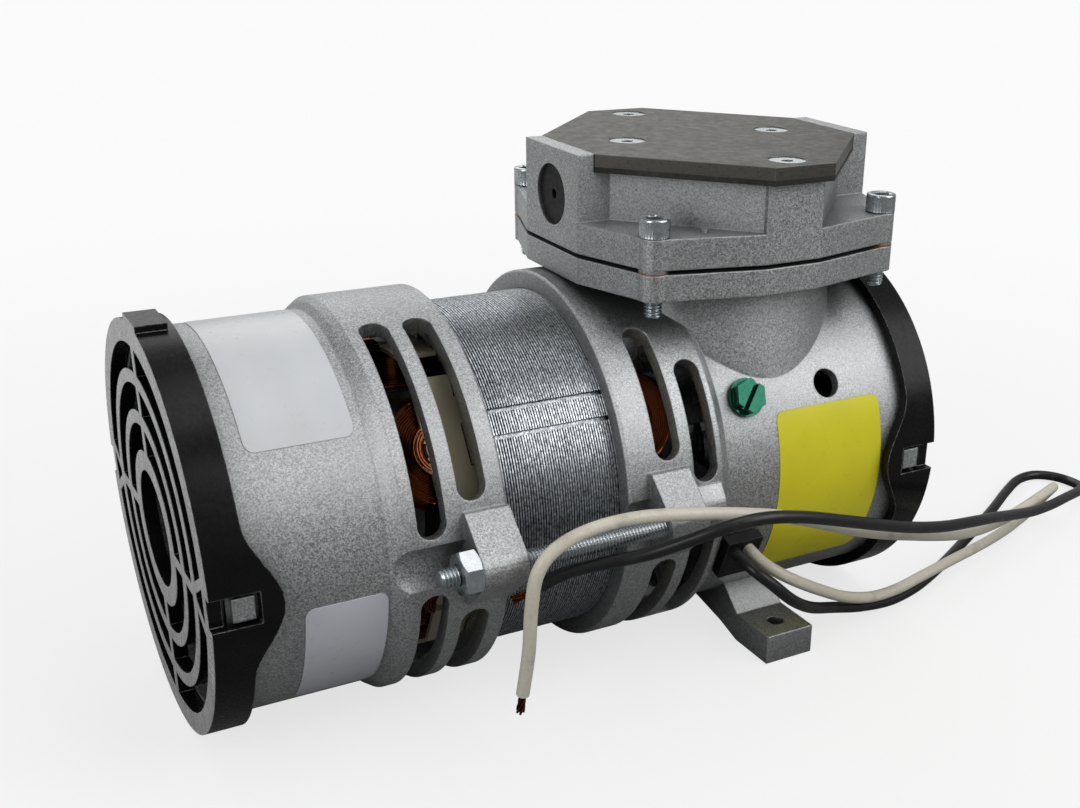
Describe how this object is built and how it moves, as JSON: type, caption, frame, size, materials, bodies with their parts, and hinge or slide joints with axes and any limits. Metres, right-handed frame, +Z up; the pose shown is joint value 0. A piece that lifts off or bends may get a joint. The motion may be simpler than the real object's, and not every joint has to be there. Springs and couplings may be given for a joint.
{
  "type": "oil-free piston vacuum pump",
  "caption": "Oil-free rocking-piston vacuum pump: open-frame motor between cast ends with slotted fan covers, cylinder head on top, two mounting feet and two bare leads.",
  "frame": {"origin": "under the middle of the length over the fan covers, on the plane of the feet", "axes": "+X along the shaft from the motor end to the pump end, +Y away from the side with the leads, +Z up along the cylinder"},
  "size_m": [0.2791, 0.1212, 0.119],
  "materials": {
    "black_plastic": "satin",
    "cast_aluminium": "fine cast, tumbled",
    "lamination_steel": "stacked edges",
    "bobbin_plastic": "satin",
    "winding_copper": "enamelled",
    "zinc_steel": "zinc plated",
    "ground_steel": "ground",
    "bare_aluminium": "machined",
    "black_steel": "black oxide",
    "bearing_steel": "polished",
    "seal_plastic": "filled, matt",
    "black_rubber": "matt",
    "spring_steel": "polished",
    "copper_sheet": "worn",
    "gasket_black": "matt",
    "grey_plate": "rolled, matt",
    "green_screw": "green passivated",
    "white_label": "gloss film",
    "grey_label": "gloss film",
    "yellow_label": "gloss film",
    "white_insulation": "satin",
    "black_insulation": "satin"
  },
  "bodies": {
    "housing": {"motor_fan_cover": "black_plastic", "crankcase_fan_cover": "black_plastic", "motor_end_casting": "cast_aluminium", "crankcase_casting": "cast_aluminium", "stator_stack": "lamination_steel", "coil_bobbins": "bobbin_plastic", "field_coils": "winding_copper", "thermal_protector": "black_plastic", "tie_rods": "zinc_steel", "tie_rod_nuts": "zinc_steel", "motor_bearing_outer": "bearing_steel", "preload_washer": "ground_steel", "crank_bearing_outer": "bearing_steel", "cylinder_sleeve": "bare_aluminium", "sleeve_o_ring": "black_rubber", "valve_plate": "bare_aluminium", "head_o_ring": "black_rubber", "exhaust_reed_keeper": "ground_steel", "reed_screws": "ground_steel", "cylinder_head": "cast_aluminium", "head_corner_shims": "copper_sheet", "head_screws": "zinc_steel", "cover_gasket": "gasket_black", "cover_plate": "grey_plate", "cover_screws": "zinc_steel", "port_filter_disc": "black_plastic", "ground_screw": "green_screw", "lead_grommet": "black_plastic", "barrel_label": "white_label", "lower_label": "grey_label", "side_label": "yellow_label", "white_lead": "white_insulation", "white_lead_strands": "winding_copper", "black_lead": "black_insulation", "black_lead_strands": "winding_copper"},
    "rotor": {"rotor_shaft": "ground_steel", "rotor_core": "lamination_steel", "rotor_end_rings": "bare_aluminium", "motor_fan": "black_plastic", "crankcase_fan": "black_plastic", "eccentric": "ground_steel", "eccentric_set_screw": "black_steel", "motor_bearing_inner": "bearing_steel", "crank_bearing_inner": "bearing_steel", "rod_bearing_inner": "bearing_steel"},
    "piston_rod": {"connecting_rod": "bare_aluminium", "piston_cup_seal": "seal_plastic", "cup_retainer": "bare_aluminium", "retainer_screw": "ground_steel", "rod_bearing_outer": "bearing_steel"},
    "shaft_bearing_balls": {"motor_bearing_balls": "bearing_steel", "crank_bearing_balls": "bearing_steel"},
    "rod_bearing_ball_set": {"rod_bearing_balls": "bearing_steel"},
    "intake_flap": {"intake_reed": "spring_steel"},
    "exhaust_flap": {"exhaust_reed": "spring_steel"}
  },
  "joints": [
    {"name": "rotor_spin", "type": "hinge", "parent": "housing", "child": "rotor", "pos_m": [0, 0, 0.045], "axis": [1, 0, 0], "continuous": true},
    {"name": "crankpin_turn", "type": "hinge", "parent": "rotor", "child": "piston_rod", "pos_m": [0.0457, 0, 0.0417], "axis": [1, 0, 0], "continuous": true, "deforming": ["piston_cup_seal"]},
    {"name": "shaft_balls_turn", "type": "hinge", "parent": "housing", "child": "shaft_bearing_balls", "pos_m": [0, 0, 0.045], "axis": [1, 0, 0], "continuous": true},
    {"name": "rod_balls_turn", "type": "hinge", "parent": "rotor", "child": "rod_bearing_ball_set", "pos_m": [0.0457, 0, 0.0417], "axis": [1, 0, 0], "continuous": true},
    {"name": "intake_reed_flap", "type": "hinge", "parent": "housing", "child": "intake_flap", "pos_m": [0.0357, -0.011, 0.0978], "axis": [-1, 0, 0], "range_deg": [0, 3], "stiffness_Nm_per_rad": 0.002},
    {"name": "exhaust_reed_flap", "type": "hinge", "parent": "housing", "child": "exhaust_flap", "pos_m": [0.0557, 0.011, 0.1007], "axis": [-1, 0, 0], "range_deg": [0, 2], "stiffness_Nm_per_rad": 0.002}
  ],
  "couplings": [
    {"joint": "crankpin_turn", "follows": "rotor_spin", "ratio": -1},
    {"joint": "shaft_balls_turn", "follows": "rotor_spin", "ratio": 0.37},
    {"joint": "rod_balls_turn", "follows": "rotor_spin", "ratio": -0.5904}
  ]
}
